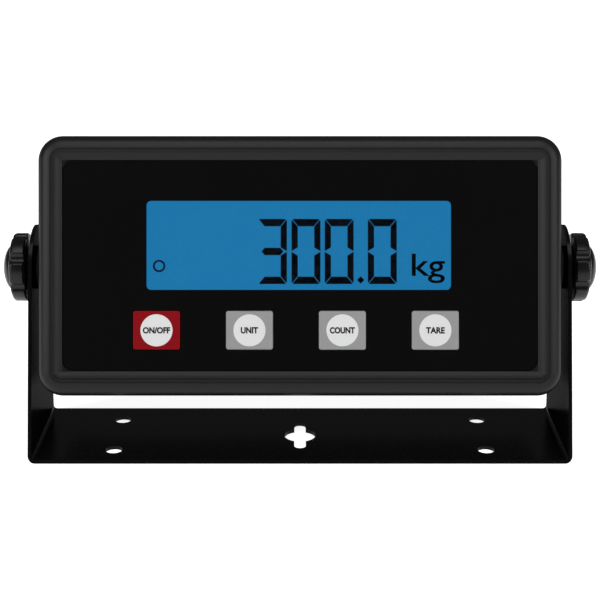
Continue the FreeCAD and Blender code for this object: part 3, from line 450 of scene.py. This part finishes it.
def softened(node: str, finish: Finish, body: str, width: float, segments: int = 2,
             angle: float = 35.0) -> bpy.types.Object:
    """Copy a CAD node, merge its points and round its edges, so that they catch the light.

    Args:
        node: The CAD node, which the new piece replaces.
        finish: Its finish.
        body: The CAD body that carries it.
        width: Width of the rounding.
        segments: Steps across the rounding.
        angle: Edges sharper than this, in degrees, are rounded.

    Returns:
        The new object.
    """
    mesh = frame["nodes"][node].data.copy()
    piece = bpy.data.objects.new(node + "_soft", mesh)
    shape = bmesh.new()
    shape.from_mesh(mesh)
    bmesh.ops.remove_doubles(shape, verts=shape.verts, dist=1e-6)
    bmesh.ops.dissolve_limit(shape, angle_limit=math.radians(1.0), verts=shape.verts, edges=shape.edges)
    shape.to_mesh(mesh)
    shape.free()
    if "custom_normal" in mesh.attributes:
        mesh.attributes.remove(mesh.attributes["custom_normal"])
    finish_piece(piece, finish, body)
    mesh.shade_smooth()
    bevel = piece.modifiers.new("edge_round", "BEVEL")
    bevel.width = width
    bevel.segments = segments
    bevel.limit_method = "ANGLE"
    bevel.angle_limit = math.radians(angle)
    bevel.harden_normals = True
    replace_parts(piece, node)
    return piece


def give(name: str, finish: Finish) -> None:
    """Give a CAD node a finish.

    Args:
        name: The node.
        finish: Its finish.
    """
    node = frame["nodes"][name]
    node.data.materials.clear()
    node.data.materials.append(finish.build())
    LOG.info("node %s: %s", name, finish.name)


def prisms(name: str, outlines: Sequence[Sequence[tuple[float, float]]], level: float, height: float,
           finish: Finish, body: str) -> bpy.types.Object:
    """Raise flat outlines on the face into thin prisms.

    Args:
        name: Name of the piece.
        outlines: For each prism its corners as (x, z), in order.
        level: Level that the prisms stand on.
        height: Their height.
        finish: Their finish.
        body: The CAD body that carries them.

    Returns:
        The new object.
    """
    points: list[Array] = []
    faces: list[list[int]] = []
    start = 0
    for outline in outlines:
        x, z = np.array(outline).T
        count = len(x)
        points += [Head.place(x, np.full(count, level), z), Head.place(x, np.full(count, level + height), z)]
        faces += [list(range(start, start + count)), list(range(start + count, start + 2 * count))]
        faces += (grid_faces(2, count) + start).tolist()
        start += 2 * count
    return make_piece(name, np.concatenate(points), faces, finish, body, smooth=False)


def circle(centre: tuple[float, float], radius: float, steps: int = 64) -> list[tuple[float, float]]:
    """Give the corners of a circle drawn on the face.

    Args:
        centre: Its middle as (x, z).
        radius: Its radius.
        steps: Number of corners.

    Returns:
        The corners as (x, z), in order.
    """
    turn = np.linspace(0, 2 * math.pi, steps, endpoint=False)
    return list(zip(centre[0] + radius * np.cos(turn), centre[1] + radius * np.sin(turn)))


def lettering(name: str, words: str, box: tuple[float, float, float, float], level: float, height: float,
              finish: Finish, body: str, boldness: float = 0.042) -> bpy.types.Object:
    """Stretch plain bold words to a box on the face, as thin raised letters.

    Args:
        name: Name of the piece.
        words: The words.
        box: Left, bottom, right and top of the letters.
        level: Level that they stand on.
        height: Their height.
        finish: Their finish.
        body: The CAD body that carries them.
        boldness: Thickening of the strokes, as a share of the letters' size.

    Returns:
        The new object.
    """
    curve = bpy.data.curves.new(name + "_curve", "FONT")
    curve.body = words
    curve.offset = boldness
    curve.extrude = 0.5
    writer = bpy.data.objects.new(name + "_writer", curve)
    bpy.context.scene.collection.objects.link(writer)
    drawn = bpy.data.meshes.new_from_object(writer.evaluated_get(bpy.context.evaluated_depsgraph_get()))
    bpy.data.objects.remove(writer)
    flat = np.empty(len(drawn.vertices) * 3)
    drawn.vertices.foreach_get("co", flat)
    share = flat.reshape(-1, 3)
    share = (share - share.min(0)) / (share.max(0) - share.min(0))
    placed = Head.place(box[0] + share[:, 0] * (box[2] - box[0]), level + share[:, 2] * height,
                        box[1] + share[:, 1] * (box[3] - box[1]))
    faces = [list(face.vertices) for face in drawn.polygons]
    bpy.data.meshes.remove(drawn)
    return make_piece(name, placed, faces, finish, body, smooth=False)


# ---------------------------------------------------------------- sub-assemblies

@dataclass
class Shells:
    """Front bezel as a smooth moulding: a skirt, a rounded shoulder and a ridge round the panel.

    Attributes:
        corner: Radius of the outline's corners.
        seam_relief: How far the skirt's lower edge is drawn in.
        shoulder: Width and height of the rounded shoulder.
        shoulder_drop: Height of the ridge's top over the top of the straight skirt.
        ridge_inset: Where the ridge's top starts and ends.
        crest: Radius of the ridge's inner edge.
        recess_play: Gap between the slope's foot and the panel.
        wall: Thickness of the moulding.
        lip: How far the seat goes under the panel's edge.
    """

    corner: float = 10 * MM
    seam_relief: float = 0.6 * MM
    shoulder: tuple[float, float] = (4.6 * MM, 5.7 * MM)
    shoulder_drop: float = 6.15 * MM
    ridge_inset: tuple[float, float] = (5.1 * MM, 5.8 * MM)
    crest: float = 0.9 * MM
    recess_play: float = 0.25 * MM
    wall: float = 2.5 * MM
    lip: float = 3 * MM

    def profile(self) -> list[tuple[float, float]]:
        """Give the bezel's section as (inset, level), from the seam out and over to the inside."""
        low, high = Head.reach("front_bezel")
        panel_low, panel_high = Head.reach("overlay_panel")
        seam, ridge, panel, floor = low[1], high[1], panel_high[1], panel_low[1]
        skirt = ridge - self.shoulder_drop
        foot = high[2] - panel_high[2] - self.recess_play
        outer, inner = self.ridge_inset
        skin = [(self.seam_relief, seam), (0.1 * MM, seam), (0.0, seam + 0.5 * MM), (0.0, skirt)]
        skin += arc((self.shoulder[0], skirt), self.shoulder, 180, 98, 12)
        skin += [(outer, ridge - 0.02 * MM), (inner, ridge)]
        skin += arc((inner + 0.1 * MM, ridge - self.crest), (self.crest, self.crest), 80, 20, 5)
        skin += [(foot - 0.5 * MM, panel + 0.25 * MM), (foot - 0.1 * MM, panel + 0.02 * MM),
                 (foot, panel - 0.1 * MM), (foot, panel - 0.5 * MM)]
        inside = [(foot + self.lip, floor), (foot + self.lip, floor - self.wall),
                  (foot - 4 * MM, floor - self.wall), (self.wall, ridge - 9 * MM), (self.wall, seam)]
        return skin + inside

    def build(self) -> None:
        """Build the bezel."""
        _, high = Head.reach("front_bezel")
        piece = framed_ring("bezel_moulding", self.profile(), (high[0], high[2]), self.corner, ABS, "head")
        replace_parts(piece, "front_bezel")


class Face:
    """Overlay film and the window over the display."""

    def build(self) -> None:
        """Dress both."""
        give("overlay_panel", FILM)
        give("display_window", WINDOW)


@dataclass
class Display:
    """What the lit display shows: seven-segment numerals, the unit and a small ring.

    Attributes:
        digit_height: Height of a numeral.
        digit_width: Width of a numeral.
        base: Height of the numerals' foot on the face.
        lefts: Left edge of each numeral.
        reading: The numerals; the point stands before the last.
        bar_across: Thickness of a level bar.
        bar_up: Thickness of an upright bar.
        gap: Half the gap between two bars.
        nib: Size of the cut at a bar's tips.
        point_centre: Middle of the point.
        point_half: Half its width.
        unit_box: Left, bottom, right and top of the unit.
        ring_centre: Middle of the ring.
        ring_radius: Its outer radius.
        ring_line: Width of its line.
        print_height: Height of all of it over the glass.
    """

    digit_height: float = 26.1 * MM
    digit_width: float = 11.6 * MM
    base: float = -7.3 * MM
    lefts: tuple[float, ...] = (-16.85 * MM, -3.4 * MM, 9.91 * MM, 27.2 * MM)
    reading: str = "3000"
    bar_across: float = 2.95 * MM
    bar_up: float = 2.5 * MM
    gap: float = 0.17 * MM
    nib: float = 0.6 * MM
    point_centre: tuple[float, float] = (24.35 * MM, -5.69 * MM)
    point_half: float = 1.5 * MM
    unit_box: tuple[float, float, float, float] = (44.8 * MM, -7.0 * MM, 58.1 * MM, 4.9 * MM)
    ring_centre: tuple[float, float] = (-56.5 * MM, -0.07 * MM)
    ring_radius: float = 2.5 * MM
    ring_line: float = 0.8 * MM
    print_height: float = 0.05 * MM

    # Bars lit for each numeral: top, upper right, lower right, bottom, lower left, upper left, middle.
    LIT = {"3": "1111001", "0": "1111110"}

    def bars(self) -> list[list[tuple[float, float]]]:
        """Give the outlines of a numeral's seven bars about its lower left corner, with mitred ends."""
        w, h, a, u, g = self.digit_width, self.digit_height, self.bar_across, self.bar_up, self.gap
        n = self.nib
        mid = h / 2
        return [
            [(g + n, h), (w - g - n, h), (w - g - n / 2, h - n / 2), (w - u - g, h - a), (u + g, h - a),
             (g + n / 2, h - n / 2)],
            [(w, h - g - n), (w, mid + g), (w - n, mid + g + n / 2), (w - u, mid + a / 2 + g),
             (w - u, h - a - g), (w - n / 2, h - g - n / 2)],
            [(w, g + n), (w - n / 2, g + n / 2), (w - u, a + g), (w - u, mid - a / 2 - g),
             (w - n, mid - g - n / 2), (w, mid - g)],
            [(g + n, 0), (g + n / 2, n / 2), (u + g, a), (w - u - g, a), (w - g - n / 2, n / 2),
             (w - g - n, 0)],
            [(0, g + n), (0, mid - g), (n, mid - g - n / 2), (u, mid - a / 2 - g), (u, a + g),
             (n / 2, g + n / 2)],
            [(0, h - g - n), (n / 2, h - g - n / 2), (u, h - a - g), (u, mid + a / 2 + g),
             (n, mid + g + n / 2), (0, mid + g)],
            [(u / 2 + g, mid), (u + g, mid + a / 2), (w - u - g, mid + a / 2), (w - u / 2 - g, mid),
             (w - u - g, mid - a / 2), (u + g, mid - a / 2)],
        ]

    def numerals(self, level: float) -> None:
        """Print the lit bars of each numeral and the point.

        Args:
            level: Level of the glass.
        """
        outlines = []
        for numeral, left in zip(self.reading, self.lefts):
            lit = [bar for bar, on in zip(self.bars(), self.LIT[numeral]) if on == "1"]
            outlines += [[(left + x, self.base + z) for x, z in bar] for bar in lit]
        x, z = self.point_centre
        reach = self.point_half
        outlines.append([(x + reach, z), (x, z + reach), (x - reach, z), (x, z - reach)])
        prisms("lcd_numerals", outlines, level, self.print_height, SEGMENT, "head")

    def ring(self, level: float) -> None:
        """Print the small ring at the left as a flat band between two circles.

        Args:
            level: Level of the glass.
        """
        outer = circle(self.ring_centre, self.ring_radius)
        inner = circle(self.ring_centre, self.ring_radius - self.ring_line)
        rows = [(outer, level), (outer, level + self.print_height), (inner, level + self.print_height),
                (inner, level)]
        points = []
        for row, at in rows:
            x, z = np.array(row).T
            points.append(Head.place(x, at, z))
        make_piece("lcd_ring", np.concatenate(points), grid_faces(len(rows), len(outer), wrap_rows=True),
                   RING, "head", smooth=False)

    def build(self) -> None:
        """Build the lit field, the numerals, the unit and the ring."""
        give("lcd_glass", LCD_BLUE)
        level = Head.reach("lcd_glass")[1][1]
        self.numerals(level)
        lettering("lcd_unit", "kg", self.unit_box, level, self.print_height, SEGMENT, "head", 0.008)
        self.ring(level)


@dataclass
class Keys:
    """Four key plates, each with a printed disc and its function in plain letters.

    Attributes:
        edge_round: Rounding of a plate's edges.
        disc_radius: Radius of a disc.
        print_height: Height of each layer of print.
        letter_height: Height of the letters.
        labels: Words and their width, for each key.
    """

    edge_round: float = 0.3 * MM
    disc_radius: float = 6.4 * MM
    print_height: float = 0.04 * MM
    letter_height: float = 2.57 * MM
    labels: dict[str, tuple[str, float]] = field(default_factory=lambda: {
        "on_off": ("ON/OFF", 10.9 * MM), "unit": ("UNIT", 6.9 * MM), "count": ("COUNT", 10.0 * MM),
        "tare": ("TARE", 7.5 * MM)})

    def key(self, name: str, words: str, width: float) -> None:
        """Build one key: its plate, the disc on it and the letters on the disc.

        Args:
            name: The key's name in the record.
            words: Its letters.
            width: Width of the letters.
        """
        red = name == "on_off"
        body = f"button_{name}"
        softened(f"key_{name}", KEY_RED if red else KEY_GREY, body,
                 self.edge_round)
        low, high = Head.reach(f"key_{name}")
        x, z = (low[0] + high[0]) / 2, self.middle(name)
        prisms(f"key_disc_{name}", [circle((x, z), self.disc_radius)], high[1], self.print_height,
               DISC_WHITE, body)
        box = (x - width / 2, z - self.letter_height / 2, x + width / 2, z + self.letter_height / 2)
        lettering(f"key_label_{name}", words, box, high[1] + self.print_height, self.print_height,
                  LABEL_BLACK, body)

    def middle(self, name: str) -> float:
        """Find the middle of a key's front.

        Args:
            name: The key's name in the record.

        Returns:
            Its height on the face.
        """
        mesh = frame["nodes"][f"key_{name}"].data
        offset = np.array([point.co for point in mesh.vertices]) - Head.pivot
        level, up = -offset @ Head.back, offset @ Head.up
        front = up[level > level.max() - 0.1 * MM]
        return (front.min() + front.max()) / 2

    def build(self) -> None:
        """Build each key."""
        for name, (words, width) in self.labels.items():
            self.key(name, words, width)


@dataclass
class Bracket:
    """The bent steel bracket."""

    edge_round: float = 0.25 * MM

    def build(self) -> None:
        """Round the sheet's edges and coat it."""
        softened("u_bracket", POWDER_COAT, "bracket", self.edge_round)


class Side(Enum):
    """The two ends of the tilt axis."""

    LEFT = -1
    RIGHT = 1


@dataclass
class Knob:
    """A star knob on one end of the tilt axis: a lobed grip and a domed cap.

    Attributes:
        side: Which end of the axis it is on.
        lobes: Number of lobes.
        scallop_reach: Distance of each scallop's middle from the axis.
        scallop_radius: Radius of each scallop.
        fade: Width over which a scallop runs out towards the axis.
        hub_radius: Radius of the hub under the grip.
        hub_start: Distance of the hub's inner face from the middle of the head.
        collar: Height of the hub.
        inner_edge: Rounding of the grip's edge towards the head.
        outer_edge: Rounding of the grip's other edge.
        cap_sink: How far the cap's rim goes into the grip.
        steps_each: Pieces round each lobe.
        crest: Angle of one lobe's crest, in the turned profile's own angle.
    """

    side: Side
    lobes: int = 7
    scallop_reach: float = 15.4 * MM
    scallop_radius: float = 2.6 * MM
    fade: float = 3.2 * MM
    hub_radius: float = 7.5 * MM
    hub_start: float = 111.5 * MM
    collar: float = 1.2 * MM
    inner_edge: float = 0.8 * MM
    outer_edge: float = 1.5 * MM
    cap_sink: float = 0.4 * MM
    steps_each: int = 28
    crest: dict[Side, float] = field(default_factory=lambda: {
        Side.LEFT: math.radians(-90), Side.RIGHT: math.radians(265)})

    def lobed(self, angle: Array, radius: Array) -> Array:
        """Draw the radius in at each scallop.

        A scallop is a circle's arc: at an angle d from its middle its wall lies at D cos d minus the
        square root of r squared less (D sin d) squared, where D is the reach and r the scallop's
        radius. The draw fades out over a set width towards the axis.

        Args:
            angle: Angles round the axis.
            radius: Radius of each profile point.

        Returns:
            The radius of each profile point at each angle.
        """
        pitch = 2 * math.pi / self.lobes
        offset = (angle - self.crest[self.side]) % pitch - pitch / 2
        inside = np.maximum(self.scallop_radius ** 2 - (self.scallop_reach * np.sin(offset)) ** 2, 0)
        outer = radius.max()
        wall = np.where(inside > 0, self.scallop_reach * np.cos(offset) - np.sqrt(inside), outer)
        draw = outer - np.minimum(wall, outer)
        return radius - draw * np.clip((radius - outer + self.fade) / self.fade, 0, 1) ** 2

    def build(self) -> None:
        """Build the grip and its cap."""
        name = self.side.name.lower()
        axis = np.array((float(self.side.value), 0.0, 0.0))
        grip, cap, body = f"knob_grip_{name}", f"knob_cap_{name}", f"knob_{name}"
        low, high = Head.reach(grip)
        radius = max(high[1], high[2])
        top = max(abs(low[0]), abs(high[0]))
        cap_low, cap_high = Head.reach(cap)
        cap_radius = (cap_high[2] - cap_low[2]) / 2
        cap_top = max(abs(cap_low[0]), abs(cap_high[0]))
        start, inner, outer = self.hub_start + self.collar, self.inner_edge, self.outer_edge
        profile = [(0.0, self.hub_start), (self.hub_radius, self.hub_start), (self.hub_radius, start)]
        profile += arc((radius - inner, start + inner), (inner, inner), -90, 0, 4)
        profile += arc((radius - outer, top - outer), (outer, outer), 0, 90, 6)
        profile += [(cap_radius, top), (0.0, top)]
        moulding = revolve(grip + "_moulding", profile, Head.pivot, axis, NYLON, body,
                           steps=self.lobes * self.steps_each, swell=self.lobed)
        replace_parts(moulding, grip)
        dome = [(0.0, top - self.cap_sink), (cap_radius, top - self.cap_sink)]
        dome += arc((0.0, top), (cap_radius, cap_top - top), 0, 90, 14)
        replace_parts(revolve(cap + "_dome", dome, Head.pivot, axis, NYLON, body), cap)


@dataclass
class Insides:
    """Finishes of the pieces inside the case and of the fasteners."""

    finishes: dict[str, Finish] = field(default_factory=lambda: {
        "case_seal": RUBBER, "friction_washers": RUBBER, "battery_pad": RUBBER, "pill_on_off": RUBBER,
        "pill_unit": RUBBER, "pill_count": RUBBER, "pill_tare": RUBBER, "lcd_frame": EPOXY,
        "keypad_header": EPOXY, "controller_chip": EPOXY, "adc_chip": EPOXY, "voltage_regulator": EPOXY,
        "buzzer": EPOXY, "power_jack": EPOXY, "lcd_pins": BRASS, "battery_terminals": BRASS,
        "load_cell_pins": BRASS, "pivot_inserts": BRASS, "main_board": BOARD, "keypad_board": BOARD,
        "capacitors": ALUMINIUM, "crystal": ALUMINIUM, "battery_header": WHITE_NYLON,
        "load_cell_header": WHITE_NYLON, "power_header": WHITE_NYLON, "battery": BATTERY,
        "battery_lead_red": LEAD_RED, "battery_lead_black": LEAD_BLACK, "load_cell_leads": LEAD_BLACK,
        "power_leads": LEAD_RED, "backlight_panel": ACRYLIC, "battery_door": ABS, "rear_cover": ABS,
        "door_screws": ZINC, "load_cell_socket": ZINC, "load_cell_nut": ZINC, "power_jack_nut": ZINC,
        "case_screws": ZINC, "board_screws": ZINC, "keypad_screws": ZINC, "knob_bolt_left": ZINC,
        "knob_bolt_right": ZINC, "knob_washer_left": ZINC, "knob_washer_right": ZINC})

    def build(self) -> None:
        """Dress every node of the list."""
        for name, finish in self.finishes.items():
            give(name, finish)


@dataclass
class Studio:
    """Camera, lamps, white floor and backdrop.

    Attributes:
        lean: Angle by which the camera looks down, the same as the head's lean at rest.
        distance: Distance of the camera from the tilt axis, square to the face.
        drop: How far it is below the tilt axis, measured down the face.
        lens: Focal length in millimetres, on a sensor 36 wide.
    """

    lean: float = math.radians(18.0)
    distance: float = 574.8 * MM
    drop: float = 13.71 * MM
    lens: float = 82.7

    def camera(self) -> None:
        """Put the camera square to the face, looking down by the head's lean."""
        ahead = Head.back
        spot = Head.pivot - self.distance * ahead - self.drop * Head.up
        data = bpy.data.cameras.new("camera")
        data.lens = self.lens
        data.sensor_width = 36.0
        data.clip_start = 0.01
        camera = bpy.data.objects.new("camera", data)
        turned = Matrix.Rotation(math.pi / 2 - self.lean, 4, "X")
        camera.matrix_world = Matrix.Translation(Vector(spot)) @ turned
        bpy.context.scene.collection.objects.link(camera)
        bpy.context.scene.camera = camera

    def lamp(self, name: str, spot: tuple[float, float, float], size: tuple[float, float], power: float,
             aim: tuple[float, float, float] = (0.0, 0.0, 0.07)) -> None:
        """Add one soft box that looks at a point.

        Args:
            name: Its name.
            spot: Its place.
            size: Its width and height.
            power: Its power in watts.
            aim: The point.
        """
        data = bpy.data.lights.new(name, "AREA")
        data.shape = "RECTANGLE"
        data.size, data.size_y = size
        data.energy = power
        lamp = bpy.data.objects.new(name, data)
        lamp.location = spot
        lamp.rotation_euler = (Vector(aim) - Vector(spot)).to_track_quat("-Z", "Y").to_euler()
        bpy.context.scene.collection.objects.link(lamp)

    def floor(self) -> None:
        """Lay a white floor that the camera and reflections see as white, with the object's shadow."""
        side = 6.0
        mesh = bpy.data.meshes.new("floor")
        corners = [(-side, -side, 0), (side, -side, 0), (side, side, 0), (-side, side, 0)]
        mesh.from_pydata(corners, [], [(0, 1, 2, 3)])
        floor = bpy.data.objects.new("floor", mesh)
        floor.data.materials.append(self.paper())
        bpy.context.scene.collection.objects.link(floor)

    def paper(self) -> bpy.types.Material:
        """Make white paper that adds light of its own only to what the camera and mirrors see."""
        material = FLOOR.build()
        tree = material.node_tree
        shader = next(node for node in tree.nodes if node.type == "BSDF_PRINCIPLED")
        output = next(node for node in tree.nodes if node.type == "OUTPUT_MATERIAL")
        path = add_node(tree, "LightPath")
        seen = add_node(tree, "Math", {0: path.outputs["Is Camera Ray"], 1: path.outputs["Is Glossy Ray"]},
                        operation="MAXIMUM").outputs[0]
        seen = add_node(tree, "Math", {0: seen, 1: path.outputs["Is Transmission Ray"]},
                        operation="MAXIMUM").outputs[0]
        place = add_node(tree, "TexCoord").outputs["Object"]
        away = add_node(tree, "VectorMath", {0: place}, operation="LENGTH").outputs["Value"]
        level = add_node(tree, "MapRange", {"Value": away, "From Min": 0.2, "From Max": 1.2,
                                            "To Min": 0.88, "To Max": 1.0}).outputs[0]
        glow = add_node(tree, "Emission", {"Color": linear("#ffffff"), "Strength": level})
        dark = add_node(tree, "Emission", {"Color": linear("#000000"), "Strength": 0.0})
        chosen = add_node(tree, "MixShader", {0: seen, 1: dark.outputs[0], 2: glow.outputs[0]})
        total = add_node(tree, "AddShader", {0: shader.outputs[0], 1: chosen.outputs[0]})
        tree.links.new(total.outputs[0], output.inputs["Surface"])
        return material

    def world(self) -> None:
        """Surround the scene with pale light, white to the camera."""
        world = bpy.data.worlds.new("studio")
        world.use_nodes = True
        tree = world.node_tree
        tree.nodes.clear()
        path = add_node(tree, "LightPath")
        dim = add_node(tree, "Background", {"Color": linear("#ffffff"), "Strength": 0.12})
        white = add_node(tree, "Background", {"Color": linear("#ffffff"), "Strength": 1.0})
        chosen = add_node(tree, "MixShader",
                          {0: path.outputs["Is Camera Ray"], 1: dim.outputs[0], 2: white.outputs[0]})
        add_node(tree, "OutputWorld", {"Surface": chosen.outputs[0]})
        bpy.context.scene.world = world

    def build(self) -> None:
        """Build the studio."""
        self.camera()
        self.lamp("top_box", (0.0, -0.35, 0.9), (0.9, 0.5), 4.4)
        self.lamp("left_box", (-0.85, -0.55, 0.5), (0.4, 0.7), 5.2)
        self.lamp("right_box", (0.85, -0.55, 0.5), (0.4, 0.7), 4.3)
        self.floor()
        self.world()


def main() -> None:
    """Build every sub-assembly and the studio."""
    logging.basicConfig(level=logging.INFO, format="%(message)s")
    bpy.context.scene.view_settings.view_transform = "Standard"
    Studio().build()
    Insides().build()
    Shells().build()
    Face().build()
    Display().build()
    Keys().build()
    Bracket().build()
    for side in Side:
        Knob(side).build()
    bpy.context.view_layer.update()


if __name__ == "__main__":
    main()
